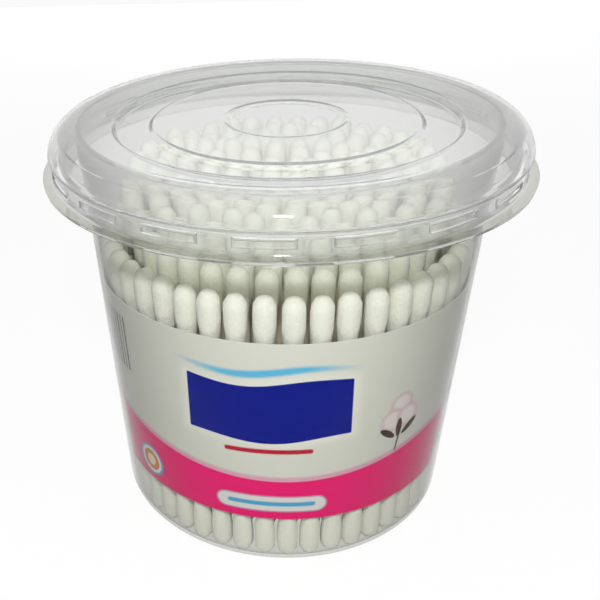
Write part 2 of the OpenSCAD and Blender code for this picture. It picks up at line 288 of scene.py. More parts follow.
@dataclass(frozen=True)
class WoundCotton(Finish):
    """Cotton fibre wound on a stick and pressed: matt and warm white, with a faint nap.

    Attributes:
        name: The material's name.
        colour: Colour of the cotton.
        strand_mm: Width of a tuft of fibres, drawn coarse enough to show.
        nap: Strength of the tufts.
        sheen: Share of soft light that the loose fibres catch.
        specular: Level of the shine, low on loose fibre.
        depth: Share of the light that goes on into the cotton.
        scatter_mm: How far that light spreads.
    """

    name: str = "wound_cotton"
    colour: str = "EDEDE4"
    strand_mm: float = 0.5
    nap: float = 0.6
    sheen: float = 0.15
    specular: float = 0.1
    depth: float = 0.4
    scatter_mm: float = 1.6

    def surface(self, tree: Tree) -> Socket:
        """Builds matt cotton with a fibrous nap.

        Args:
            tree: The material's node tree.

        Returns:
            The shader output.
        """
        place = add_node(tree, "TexCoord").outputs["Object"]
        tuft = self.strand_mm * MM
        tufts = add_node(tree, "TexNoise", {"Vector": place, "Scale": 1 / tuft, "Detail": 3.0, "Roughness": 0.6})
        bump = add_node(tree, "Bump", {"Height": tufts.outputs["Fac"], "Strength": self.nap, "Distance": tuft})
        cotton = add_node(
            tree,
            "BsdfPrincipled",
            {
                "Base Color": linear(self.colour),
                "Roughness": 1.0,
                "Specular IOR Level": self.specular,
                "Sheen Weight": self.sheen,
                "Subsurface Weight": self.depth,
                "Subsurface Radius": (self.scatter_mm * MM,) * 3,
                "Subsurface Scale": 1.0,
                "Normal": bump.outputs["Normal"],
            },
        )
        return cotton.outputs[0]


@dataclass(frozen=True)
class RolledPaper(Finish):
    """White paper rolled hard into a stick: plain and nearly matt.

    Attributes:
        name: The material's name.
        colour: Colour of the paper.
        roughness: Roughness of its surface.
    """

    name: str = "rolled_paper"
    colour: str = "F6F0E2"
    roughness: float = 0.75

    def surface(self, tree: Tree) -> Socket:
        """Builds plain matt paper."""
        paper = add_node(tree, "BsdfPrincipled", {"Base Color": linear(self.colour), "Roughness": self.roughness})
        return paper.outputs[0]


class FieldShape(Enum):
    """The outline of a printed field."""

    BOX = "box"
    OVAL = "oval"


@dataclass(frozen=True)
class Wave:
    """A gentle wave that a field's long edges follow, in millimetres.

    Attributes:
        rise: Height of a crest over the edge's mean.
        length: From one crest to the next.
        start: Where the wave begins to rise, at the field's middle height.
        drift: How far that place moves on for each millimetre up the field.
    """

    rise: float
    length: float
    start: float
    drift: float = 0.0

    def level(self, tree: Tree, local: Socket) -> Socket:
        """Takes the wave out of a place on the field.

        Args:
            tree: The material's node tree.
            local: The place, from the field's middle.

        Returns:
            The place as it would be on a field with straight edges.
        """
        turn = FULL_TURN / self.length
        rate = (turn, 0, -turn * self.drift)
        along = add_node(tree, "VectorMath", {0: local, 1: rate}, operation="DOT_PRODUCT")
        angle = add_node(tree, "Math", {0: along.outputs["Value"], 1: turn * self.start}, operation="SUBTRACT")
        swing = add_node(tree, "Math", {0: angle.outputs[0]}, operation="SINE")
        lift = add_node(tree, "VectorMath", {0: (0, 0, self.rise), "Scale": swing.outputs[0]}, operation="SCALE")
        return add_node(tree, "VectorMath", {0: local, 1: lift.outputs[0]}, operation="SUBTRACT").outputs[0]


@dataclass(frozen=True)
class PrintedField:
    """One plain field of ink on the liner, in millimetres.

    Attributes:
        ink: Colour of the field.
        turn: Angle round the tub from the front, in degrees, towards +X.
        height: Height of the field's middle above the table.
        width: Width of the field.
        tall: Height of the field from edge to edge.
        shape: Outline of the field.
        corner: Radius of a box's corners.
        tilt: Turn of the field, anticlockwise as it is seen, in degrees.
        blur: Width of the field's soft edge.
        cover: Share of the paper's colour that the ink hides.
        wave: The wave along its long edges, if it has one.
    """

    ink: str
    turn: float
    height: float
    width: float
    tall: float
    shape: FieldShape = FieldShape.BOX
    corner: float = 0.2
    tilt: float = 0.0
    blur: float = 0.12
    cover: float = 1.0
    wave: Wave | None = None


@dataclass(frozen=True)
class PrintedPaper(Finish):
    """Coated paper with offset print: an even dull white with flat fields of ink on its outer side only.

    Attributes:
        name: The material's name.
        band_top: Height of the band's upper edge at the front, in millimetres.
        stripe_tall: Height of the stripe.
        band_curve: Radius of the long curve that the band's edge follows.
        front_radius: Radius of the sheet at its middle height.
        fields: The printed fields, from the lowest layer to the top one.
        sheet: Colour of the coated side.
        back: Colour of the inner side and of the cut edges: pale paper grey with a faint lavender tint that paints
            light coming through the printed sheet.
        band: Colour of the wide band along the lower edge.
        stripe: Colour of the pale stripe over the band.
        roughness: Roughness of the coat.
        specular: Level of its shine, low because the wall over it takes the gloss.
        depth: How far in and out from the sheet a field of ink reaches, in millimetres.
        edge: Half width of the band's soft edge.
        side_on: Cosine of the lean from straight out at which a face counts as a cut edge.
    """

    name: str
    band_top: float
    stripe_tall: float
    band_curve: float
    front_radius: float
    fields: tuple[PrintedField, ...]
    sheet: str = "DADAD3"
    # Pale grey with a faint lavender tint that paints light coming through the printed sheet.
    back: str = "D6D6DC"
    band: str = "F21676"
    stripe: str = "DDA9BF"
    roughness: float = 0.7
    specular: float = 0.03
    depth: float = 10.0
    edge: float = 0.05
    side_on: float = 0.5

    def surface(self, tree: Tree) -> Socket:
        """Builds the sheet, the band and each field in turn.

        Args:
            tree: The material's node tree.

        Returns:
            The shader output.
        """
        place = add_node(tree, "TexCoord").outputs["Object"]
        colour = add_node(tree, "RGB").outputs[0]
        colour.default_value = linear(self.sheet)
        colour = self.banded(tree, place, colour)
        for each in self.fields:
            colour = mixed(tree, self.mask(tree, place, each), colour, linear(each.ink))
        colour = mixed(tree, self.inner_side(tree, place), colour, linear(self.back))
        coat = {"Base Color": colour, "Roughness": self.roughness, "Specular IOR Level": self.specular}
        return add_node(tree, "BsdfPrincipled", coat).outputs[0]

    def banded(self, tree: Tree, place: Socket, under: Socket) -> Socket:
        """Prints the stripe and the band under one long curve.

        Args:
            tree: The material's node tree.
            place: Object coordinates.
            under: The colour of the sheet.

        Returns:
            The colour with both printed.
        """
        centre = self.band_top + self.band_curve
        spans = {"Vector": place, "Location": (0, 0, centre * MM), "Scale": (MM, FLATTEN, MM)}
        local = add_node(tree, "Mapping", spans, vector_type="TEXTURE")
        reach = add_node(tree, "VectorMath", {0: local.outputs[0]}, operation="LENGTH")
        for ink, start, end in (
            (self.stripe, -self.stripe_tall, -self.stripe_tall / 2),
            (self.band, -self.edge, self.edge),
        ):
            limits = {"From Min": self.band_curve + start, "From Max": self.band_curve + end}
            mask = add_node(tree, "MapRange", {"Value": reach.outputs["Value"], **limits})
            under = mixed(tree, mask.outputs[0], under, linear(ink))
        return under

    def mask(self, tree: Tree, place: Socket, each: PrintedField) -> Socket:
        """Works out how much of a field's ink lies at each point.

        Args:
            tree: The material's node tree.
            place: Object coordinates.
            each: The printed field.

        Returns:
            Its cover, from 0 to 1.
        """
        turn = math.radians(each.turn)
        out = Vector((math.sin(turn), -math.cos(turn), 0)) * self.front_radius
        oval = each.shape is FieldShape.OVAL
        half = (each.width / 2, self.depth, each.tall / 2)
        spot = {
            "Location": (out + Vector((0, 0, each.height))) * MM,
            "Rotation": (0, -math.radians(each.tilt), turn),
            "Scale": (MM, MM, MM),
        }
        local = add_node(tree, "Mapping", {"Vector": place, **spot}, vector_type="TEXTURE").outputs[0]
        if each.wave:
            local = each.wave.level(tree, local)
        limit, blur = (1.0, each.blur / min(half[0], half[2])) if oval else (each.corner, each.blur)
        if oval:
            spans = (half[0], self.front_radius, half[2])
            local = add_node(tree, "VectorMath", {0: local, 1: spans}, operation="DIVIDE").outputs[0]
        else:
            size = add_node(tree, "VectorMath", {0: local}, operation="ABSOLUTE").outputs[0]
            inner = tuple(max(h - each.corner, 0) for h in half)
            past = add_node(tree, "VectorMath", {0: size, 1: inner}, operation="SUBTRACT").outputs[0]
            local = add_node(tree, "VectorMath", {0: past, 1: (0, 0, 0)}, operation="MAXIMUM").outputs[0]
        reach = add_node(tree, "VectorMath", {0: local}, operation="LENGTH").outputs["Value"]
        limits = {"From Min": limit - blur / 2, "From Max": limit + blur / 2, "To Min": each.cover, "To Max": 0.0}
        return add_node(tree, "MapRange", {"Value": reach, **limits}).outputs[0]

    def inner_side(self, tree: Tree, place: Socket) -> Socket:
        """Finds the sheet's inner side and cut edges, where the face doesn't look away from the middle.

        Args:
            tree: The material's node tree.
            place: Object coordinates.

        Returns:
            1 on the inner side and the edges, and 0 outside.
        """
        normal = add_node(tree, "NewGeometry").outputs["Normal"]
        flat = add_node(tree, "VectorMath", {0: place, 1: (1, 1, 0)}, operation="MULTIPLY").outputs[0]
        away = add_node(tree, "VectorMath", {0: flat}, operation="NORMALIZE").outputs[0]
        facing = add_node(tree, "VectorMath", {0: away, 1: normal}, operation="DOT_PRODUCT").outputs["Value"]
        return add_node(tree, "Math", {0: facing, 1: self.side_on}, operation="LESS_THAN").outputs[0]


@dataclass(frozen=True)
class StudioFloor(Finish):
    """Smooth white table board, matt: pure white in the picture but for the object's faint shadow.

    Attributes:
        name: The material's name.
        colour: Colour of the board under the lamps.
        shine_through: Share of plain white that the picture sees in place of the lit board.
        fade: Distances from the middle, in metres, over which the board turns to plain white, as a sweep does.
    """

    name: str = "white_table_board"
    colour: str = "F2F2F2"
    shine_through: float = 0.9
    fade: tuple[float, float] = (0.3, 1.8)

    def surface(self, tree: Tree) -> Socket:
        """Builds the board, with its white added for the rays that see it.

        Args:
            tree: The material's node tree.

        Returns:
            The shader output.
        """
        board = add_node(tree, "BsdfDiffuse", {"Color": linear(self.colour)})
        white = add_node(tree, "Emission", {"Color": (1, 1, 1, 1), "Strength": 1.0})
        place = add_node(tree, "TexCoord").outputs["Object"]
        reach = add_node(tree, "VectorMath", {0: place}, operation="LENGTH").outputs["Value"]
        start, end = self.fade
        limits = {"From Min": start, "From Max": end, "To Min": self.shine_through}
        plain = add_node(tree, "MapRange", {"Value": reach, **limits})
        share = add_node(tree, "Math", {0: seen_by_rays(tree), 1: plain.outputs[0]}, operation="MULTIPLY")
        shaders = {0: share.outputs[0], 1: board.outputs[0], 2: white.outputs[0]}
        return add_node(tree, "MixShader", shaders).outputs[0]


def seen_by_rays(tree: Tree) -> Socket:
    """Tells the rays that picture the backdrop, straight, mirrored or through plastic, from those that light it.

    Args:
        tree: The node tree that gets the nodes.

    Returns:
        1 for camera, glossy and transmission rays, otherwise 0.
    """
    ray = add_node(tree, "LightPath").outputs
    seen = ray["Is Camera Ray"]
    for name in ("Is Glossy Ray", "Is Transmission Ray"):
        seen = add_node(tree, "Math", {0: seen, 1: ray[name]}, operation="MAXIMUM").outputs[0]
    return seen


class Section:
    """A line in the XZ plane, in millimetres, drawn point by point and then spun round +Z.

    Attributes:
        mesh: The mesh that holds the line, and in the end the spun sheet.
        end: The line's last vertex.
        corners: Vertices to be rounded, with how far from the corner each rounding starts.
    """

    CORNER_STEPS = 3

    def __init__(self, radius: float, height: float) -> None:
        """Starts the line.

        Args:
            radius: Distance of its first point from the axis.
            height: Height of its first point.
        """
        self.mesh = bmesh.new()
        self.end = self.mesh.verts.new((radius, 0, height))
        self.corners: list[tuple[bmesh.types.BMVert, float]] = []

    def to(self, radius: float, height: float, corner: float = 0.0) -> "Section":
        """Draws a straight line to a point.

        Args:
            radius: Distance of the point from the axis.
            height: Height of the point.
            corner: How far from the point its rounding starts; 0 keeps a plain corner.

        Returns:
            The section, so that calls can follow each other.
        """
        grown = bmesh.ops.extrude_vert_indiv(self.mesh, verts=[self.end])
        self.end = grown["verts"][0]
        self.end.co = (radius, 0, height)
        if corner:
            self.corners.append((self.end, corner))
        return self

    def arc(self, centre: tuple[float, float], turn: float, steps: int) -> "Section":
        """Carries the line's end round a centre.

        Args:
            centre: Radius and height of the centre.
            turn: Angle in degrees, anticlockwise where +X is to the right.
            steps: Number of straight pieces.

        Returns:
            The section.
        """
        grown = bmesh.ops.spin(
            self.mesh,
            geom=[self.end],
            cent=(centre[0], 0, centre[1]),
            axis=(0, 1, 0),
            angle=-math.radians(turn),
            steps=steps,
        )
        self.end = next(v for v in grown["geom_last"] if isinstance(v, bmesh.types.BMVert))
        return self

    def spun(self, steps: int, start: float = 0.0, turn: float = 360.0) -> Mesh:
        """Rounds the corners and spins the line to a sheet with its faces outward.

        Args:
            steps: Number of steps round the axis.
            start: Angle of the first step from +X, in degrees.
            turn: Angle to spin through, in degrees.

        Returns:
            The sheet.
        """
        sheet = self.mesh
        for vertex, corner in self.corners:
            bmesh.ops.bevel(
                sheet,
                geom=[vertex],
                offset=corner,
                offset_type="OFFSET",
                segments=self.CORNER_STEPS,
                profile=0.5,
                affect="VERTICES",
                material=-1,
            )
        bmesh.ops.rotate(sheet, verts=sheet.verts, cent=(0, 0, 0), matrix=Matrix.Rotation(math.radians(start), 3, "Z"))
        bmesh.ops.spin(
            sheet,
            geom=sheet.verts[:] + sheet.edges[:],
            cent=(0, 0, 0),
            axis=(0, 0, 1),
            angle=math.radians(turn),
            steps=steps,
            use_merge=turn == 360.0,
        )
        bmesh.ops.remove_doubles(sheet, verts=sheet.verts, dist=MERGE_DISTANCE)
        bmesh.ops.recalc_face_normals(sheet, faces=sheet.faces)
        return sheet


def look_outward(sheet: Mesh, height: float) -> None:
    """Turns a sheet's faces, so that those at a height look away from the axis.

    Args:
        sheet: The spun sheet, before it gets its thickness.
        height: Height at which it is a plain wall.
    """
    face = min(sheet.faces, key=lambda each: abs(each.calc_center_median().z - height))
    middle = face.calc_center_median()
    if face.normal.dot(Vector((middle.x, middle.y, 0))) < 0:
        bmesh.ops.reverse_faces(sheet, faces=sheet.faces)


@dataclass(frozen=True)
class Dress:
    """What a finished piece is called, wears, rides on and stands for.

    Attributes:
        piece: Name of the piece.
        finish: Its finish.
        body: Body of the frame that carries it.
        slot: The record's material slot; not used.
        stands_for: Node of the frame that it replaces.
        sharp_over: Angle in degrees above which an edge stays sharp.
    """

    piece: str
    finish: Finish
    body: str
    slot: str
    stands_for: str
    sharp_over: float = 40.0


def finish_piece(shape: Mesh, dress: Dress) -> bpy.types.Object:
    """Brings a finished mesh to metres and puts it in the scene.

    Args:
        shape: The mesh, in millimetres. It is freed here.
        dress: Its name, finish and place in the frame.

    Returns:
        The new object.
    """
    bmesh.ops.scale(shape, vec=(MM, MM, MM), verts=shape.verts)
    data = bpy.data.meshes.new(dress.piece)
    shape.to_mesh(data)
    shape.free()
    data.shade_smooth()
    data.set_sharp_from_angle(angle=math.radians(dress.sharp_over))
    data.materials.append(dress.finish.material())
    piece = bpy.data.objects.new(dress.piece, data)
    bpy.context.scene.collection.objects.link(piece)
    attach(piece, dress.body)
    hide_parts(dress.stands_for)
    LOG.info("%s: %d faces, %s", dress.piece, len(data.polygons), dress.finish.name)
    return piece


@dataclass(frozen=True)
class Seat:
    """Where the lid's shoulder nests over the tub's rim, in millimetres.

    Attributes:
        tub_height: Height of the tub's crest, from the frame.
        lid_radius: Outer radius of the lid's flare, from the frame.
        shoulder: Outer radius of the shoulder's section.
        flare_out: How far the flare stands out from the shoulder.
        crest_out: Radius of the crest's circle beyond the wall's top edge.
        skirt_in: How far the skirt is set in from the shoulder.
        sheet: Thickness of the lid and the rim.
        gap: Between the rim's crest and the shoulder.
    """

    tub_height: float
    lid_radius: float
    shoulder: float = 6.66
    flare_out: float = 1.58
    crest_out: float = 0.3
    skirt_in: float = 0.5
    sheet: float = 0.8
    gap: float = 0.15

    @classmethod
    def from_frame(cls) -> "Seat":
        """Reads the tub's height and the lid's radius from the frame."""
        return cls(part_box("tub")[1].z / MM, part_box("lid")[1].x / MM)

    @property
    def crest(self) -> float:
        """Radius of the crest's circle."""
        return self.lid_radius - self.flare_out - self.shoulder

    @property
    def skirt(self) -> float:
        """Outer radius of the skirt."""
        return self.crest + self.shoulder - self.skirt_in

    @property
    def rim(self) -> float:
        """Outer radius of the section of the tub's rim."""
        return self.shoulder - self.sheet - self.gap

    @property
    def centre(self) -> tuple[float, float]:
        """Radius and height of the centre that both sections share."""
        return self.crest, self.tub_height - self.rim


@dataclass(frozen=True)
class Tub:
    """The clear tub: raised floor, tapered wall and down-turned rim, in millimetres.

    Attributes:
        seat: The seat that it shares with the lid.
        taper: Lean of the wall from upright, in degrees.
        wall: Thickness of the wall.
        corner: Radius of the corner between floor and wall.
        foot: Width of the foot ring.
        raised: Height of the floor's raised middle.
        slope: Width of the slope round it.
        collar_drop: Drop of the collar's edge below the crest.
        collar_gap: Between the snap bead and the lid's skirt.
        bead_out: How far the snap bead stands out.
        bead_drop: Drop of the bead below the crest.
        bead_tall: Height of the bead.
        corner_steps: Steps round the floor's corner.
        fold_steps: Steps over the rim.
        steps: Steps round the axis.
        finish: Finish of the sheet.
    """

    seat: Seat
    taper: float = 2.83
    wall: float = 0.8
    corner: float = 4.0
    foot: float = 2.3
    raised: float = 1.4
    slope: float = 0.9
    collar_drop: float = 11.6
    collar_gap: float = 1.11
    bead_out: float = 0.6
    bead_drop: float = 6.2
    bead_tall: float = 1.0
    corner_steps: int = 8
    fold_steps: int = 6
    steps: int = 256
    # Injection-moulded polypropylene is clear with a faint grey cast. Seen edge on it turns much darker, partly for
    # the longer path through the wall and partly as painted shade on the tub's sides. Its IOR stays below the real
    # 1.49, so that the wall mirrors no more of the white table than the real one does.
    finish: Finish = ClearPlastic("clear_moulded_polypropylene", "ECECE9", edge="4C4C46", edge_tint_and_shade_power=1.7, ior=1.14)

    def radius(self, height: float) -> float:
        """Outer radius of the wall at a height."""
        drop = self.seat.tub_height - height
        return self.seat.crest - self.seat.crest_out - drop * math.tan(math.radians(self.taper))

    def build(self) -> bpy.types.Object:
        """Draws the outer line of the sheet, spins it and gives it its thickness.

        Returns:
            The tub.
        """
        seat, lean = self.seat, math.radians(self.taper)
        corner_at = self.radius(0) + self.corner * math.tan(lean) - self.corner / math.cos(lean)
        floor_at = corner_at - self.foot - self.slope
        collar = seat.skirt - seat.sheet - self.collar_gap - self.bead_out - seat.sheet
        fold = seat.rim - seat.sheet
        from_angle = 90 + math.degrees(math.asin(seat.crest_out / fold))
        to_angle = math.degrees(math.acos((collar - seat.crest) / fold))
        bead = seat.tub_height - self.bead_drop
        soft = self.bead_out / 2
        line = Section(0, self.raised)
        line.to(floor_at, self.raised, corner=soft).to(floor_at + self.slope, 0, corner=soft)
        line.to(corner_at, 0).arc((corner_at, self.corner), 90 - self.taper, self.corner_steps)
        line.to(seat.crest - seat.crest_out, seat.centre[1] + fold * math.sin(math.radians(from_angle)))
        line.arc(seat.centre, to_angle - from_angle, self.fold_steps)
        line.to(collar, bead + self.bead_tall, corner=soft)
        line.to(collar + self.bead_out, bead + self.bead_tall / 2, corner=soft / 2)
        line.to(collar + self.bead_out, bead - self.bead_tall / 2, corner=soft / 2)
        line.to(collar, bead - self.bead_tall, corner=soft)
        line.to(collar, seat.tub_height - self.collar_drop)
        shell = line.spun(self.steps)
        look_outward(shell, seat.tub_height / 2)
        bmesh.ops.solidify(shell, geom=shell.faces[:], thickness=self.wall)
        return finish_piece(shell, Dress("tub_shell", self.finish, "tub", "clear_tub", "tub"))


@dataclass(frozen=True)
class Lid:
    """The clear lid: flare, skirt with pressed-in snap lugs, round shoulder and stepped panel, in millimetres.

    Attributes:
        seat: The seat that it shares with the tub.
        shoulder_from: Angle up the shoulder's section at which it leaves the skirt.
        crest_slope: Slope from the crest in towards the panel, in degrees.
        skirt_drop: Drop from the seat's centre to the flare.
        flare_tall: Height of the flare's upright edge over its lower one.
        flare_drop: Drop of the flare.
        step_in: How far the step lies inside the crest.
        step: Depth of the step down to the panel.
        channel: Width of the channel round the raised disc.
        disc: Height of the disc.
        dish: Radius of the dish in its middle.
        dish_deep: Depth of the dish.
        slope: Width of the panel's small slopes.
        soft: Rounding of the panel's corners.
        lugs: Number of lugs.
        lug_angle: Angle that each lug covers, in degrees.
        lug_tall: Height of a lug.
        lug_mid: Drop from the seat's centre to the middle of the lugs.
        lug_in: How far a lug stands in.
        shoulder_steps: Steps over the shoulder.
        steps: Steps round the axis.
    """

    seat: Seat
    shoulder_from: float = 6.0
    crest_slope: float = 8.4
    skirt_drop: float = 4.0
    flare_tall: float = 0.7
    flare_drop: float = 1.0
    step_in: float = 8.37
    step: float = 1.55
    channel: float = 7.2
    disc: float = 1.2
    dish: float = 13.0
    dish_deep: float = 0.6
    slope: float = 0.9
    soft: float = 0.5
    lugs: int = 18
    lug_angle: float = 12.5
    lug_tall: float = 1.7
    lug_mid: float = 1.8
    lug_in: float = 0.5
    shoulder_steps: int = 14
    steps: int = 288

    def finish(self) -> Finish:
        """Gives the lid's sheet: PET formed over a mould, glossy and a little hazy, with a grey flare whose grey also
        paints its shadow.

        Returns:
            The finish, with the flare's colour at its height.
        """
        flare = self.seat.centre[1] - self.skirt_drop
        return ClearPlastic(
            "clear_formed_pet_sheet",
            "F0F1F1",
            # The edge colour darkens the sheet seen edge on, partly as painted shade on its slopes.
            edge="8C8C88",
            edge_tint_and_shade_power=6.0,
            # The flare's grey also tints the lamp light through it, which paints the flare's shadow on the tips below.
            rim="B8B8B0",
            rim_mm=(flare + self.flare_tall, flare - self.flare_tall),
            haze=0.1,
            wave_mm=18.0,
        )

    def build(self) -> bpy.types.Object:
        """Draws the outer line of the sheet, spins it, presses the lugs in and gives it its thickness.

        Returns:
            The lid.
        """
        seat = self.seat
        level = seat.centre[1]
        start, slope = math.radians(self.shoulder_from), math.radians(self.crest_slope)
        step_at = seat.crest - self.step_in
        crest = Vector((seat.crest, level)) + seat.shoulder * Vector((-math.sin(slope), math.cos(slope)))
        step_top = crest.y - (crest.x - step_at) * math.tan(slope)
        panel = step_top - self.step
        disc_at = step_at - self.channel - 2 * self.slope
        flare = level - self.skirt_drop - self.flare_drop + self.flare_tall
        lug = level - self.lug_mid
        skirt_top = level + seat.shoulder * math.sin(start) - seat.skirt_in
        line = Section(seat.lid_radius, flare)
        line.to(seat.skirt, level - self.skirt_drop, corner=self.soft)
        line.to(seat.skirt, lug - self.lug_tall / 2).to(seat.skirt, lug + self.lug_tall / 2)
        line.to(seat.skirt, skirt_top, corner=self.soft / 2)
        line.to(seat.crest + seat.shoulder * math.cos(start), level + seat.shoulder * math.sin(start))
        line.arc(seat.centre, 90 + self.crest_slope - self.shoulder_from, self.shoulder_steps)
        line.to(step_at, step_top, corner=self.soft).to(step_at - self.slope, panel, corner=self.soft)
        line.to(disc_at + self.slope, panel, corner=self.soft).to(disc_at, panel + self.disc, corner=self.soft)
        line.to(self.dish + self.slope, panel + self.disc, corner=self.soft)
        line.to(self.dish, panel + self.disc - self.dish_deep, corner=self.soft)
        line.to(0, panel + self.disc - self.dish_deep)
        shell = line.spun(self.steps)
        self.press_lugs(shell, lug)
        bmesh.ops.solidify(shell, geom=shell.faces[:], thickness=seat.sheet)
        return finish_piece(shell, Dress("lid_shell", self.finish(), "lid", "clear_lid", "lid"))

    def press_lugs(self, shell: Mesh, height: float) -> None:
        """Presses each lug in from the skirt's outer side.

        Args:
            shell: The lid's sheet.
            height: Height of the lugs' middle.
        """
        pitch = 360 / self.lugs
        chosen = []
        for face in shell.faces:
            middle = face.calc_center_median()
            turn = math.degrees(math.atan2(middle.y, middle.x)) % pitch
            on_skirt = middle.xy.length > self.seat.crest + self.seat.shoulder / 2
            if on_skirt and abs(middle.z - height) < self.lug_tall / 4 and turn < self.lug_angle:
                chosen.append(face)
        bmesh.ops.inset_region(
            shell,
            faces=chosen,
            thickness=self.soft,
            depth=-self.lug_in,
            use_even_offset=True,
            use_boundary=True,
        )


@dataclass(frozen=True)
class Liner:
    """The printed paper liner, one rolled sheet that is open at the back, in millimetres.

    Attributes:
        tub: The tub that it stands in.
        foot: Height of its lower edge.
        tall: Height from edge to edge.
        paper: Thickness of the paper.
        gap: Between the liner and the wall.
        seam: Width of the gap between its ends.
        band: Height of the band over the lower edge, at the front.
        stripe: Height of the pale stripe.
        curve: Radius of the band's long curve.
        steps: Steps round the axis.
        print_front: Turn of the main print round the tub, in degrees.
        print_tilt: Tilt of the main print, in degrees.
        wave_rise: Height of the wave along the main print's edges.
        wave_length: Length of that wave.
    """

    tub: Tub
    foot: float = 14.9
    tall: float = 49.9
    paper: float = 0.2
    gap: float = 0.1
    seam: float = 0.8
    band: float = 11.9
    stripe: float = 1.8
    curve: float = 131.0
    steps: int = 240
    print_front: float = -3.5
    print_tilt: float = 0.6
    wave_rise: float = 0.8
    wave_length: float = 34.0

    def radius(self, height: float) -> float:
        """Outer radius of the sheet at a height."""
        lean = math.radians(self.tub.taper)
        return self.tub.radius(height) - (self.tub.wall + self.gap) / math.cos(lean)

    def printed_fields(self) -> tuple[PrintedField, ...]:
        """Lists the printed fields from the lowest layer to the top one.

        Returns:
            The fields.
        """
        front, tilt = self.print_front, self.print_tilt
        top = Wave(self.wave_rise, self.wave_length, start=2.0)
        edges = Wave(self.wave_rise, self.wave_length, start=5.0, drift=-0.38)
        panel = [
            PrintedField("EFEFE6", front, 46.7, 38.5, 18, corner=1, tilt=tilt, blur=2.5, cover=0.7, wave=edges),
            PrintedField("62B9E2", front - 1.1, 57.6, 31, 1.9, shape=FieldShape.OVAL, tilt=tilt, blur=0.7, wave=top),
            PrintedField("00148C", front, 46.7, 36, 15.6, corner=0.3, tilt=tilt, wave=edges),
            PrintedField("BE1F3E", front, 35.8, 20, 1.3, corner=0.6, tilt=tilt, blur=0.3),
        ]
        pill = [
            PrintedField("C394AE", front + 0.9, 19.7, 26.0, 5.1, corner=2.5),
            PrintedField("E2DFE0", front + 0.9, 19.7, 25.2, 4.3, corner=2.1),
            PrintedField("4FA9D8", front + 0.9, 19.7, 20.5, 1.3, corner=0.6, blur=0.4),
        ]
        badge = [
            PrintedField(ink, -48, 21, 2 * radius, 2 * radius, shape=FieldShape.OVAL)
            for ink, radius in (("5FA8DA", 4.6), ("F2F0EE", 3.9), ("DD8A2C", 3.1), ("F4E6D4", 1.7))
        ]
        return tuple(panel + pill + badge + self.sprig_fields() + self.bar_fields())

    def sprig_fields(self) -> list[PrintedField]:
        """Lists a plain puff of three lobes with three leaves and a stem under it.

        Returns:
            The fields.
        """
        turn, middle, spread = 38.0, 41.0, 2.6
        places = [(spread * math.cos(a), middle + spread * math.sin(a)) for a in np.radians((90, 210, 330))]
        lobes = [
            PrintedField(ink, turn + math.degrees(x / self.radius(z)), z, wide, wide, shape=FieldShape.OVAL, blur=soft)
            for x, z in places
            for ink, wide, soft in (("CFA3B2", 6.4, 0.9), ("E8E0E0", 5.5, 1.8))
        ]
        leaves = [
            PrintedField("463129", turn + math.degrees(x / self.radius(z)), z, 1.7, 5.4, FieldShape.OVAL, tilt=lean)
            for x, z, lean in ((-3.2, 36.2, 52), (3.2, 36.2, -52), (0.0, 36.9, 0))
        ]
        stem = PrintedField("5C5148", turn, 32.8, 0.5, 5.4, corner=0.2, tilt=-8)
        return [stem] + lobes + leaves

    def bar_fields(self) -> list[PrintedField]:
        """Lists the row of plain dark bars on the left side.

        Returns:
            The fields.
        """
        middle, pitch, height, tall, thin, thicker = -60, 1.96, 53, 15, 0.5, 0.2
        return [
            PrintedField("55565A", middle + (i - 4) * pitch, height, thin + i % 3 * thicker, tall, corner=0.1)
            for i in range(8)
        ]

    def build(self) -> bpy.types.Object:
        """Spins the sheet, gives it its thickness and prints it.

        Returns:
            The liner.
        """
        top = self.foot + self.tall
        open_angle = math.degrees(self.seam / self.radius(top))
        line = Section(self.radius(self.foot), self.foot).to(self.radius(top), top)
        sheet = line.spun(self.steps, start=90 + open_angle / 2, turn=360 - open_angle)
        look_outward(sheet, self.foot + self.tall / 2)
        bmesh.ops.solidify(sheet, geom=sheet.faces[:], thickness=self.paper)
        finish = PrintedPaper(
            "coated_printed_paper",
            band_top=self.foot + self.band,
            stripe_tall=self.stripe,
            band_curve=self.curve,
            front_radius=self.radius(self.foot + self.tall / 2),
            fields=self.printed_fields(),
        )
        return finish_piece(sheet, Dress("liner_sheet", finish, "tub", "printed_paper", "label"))


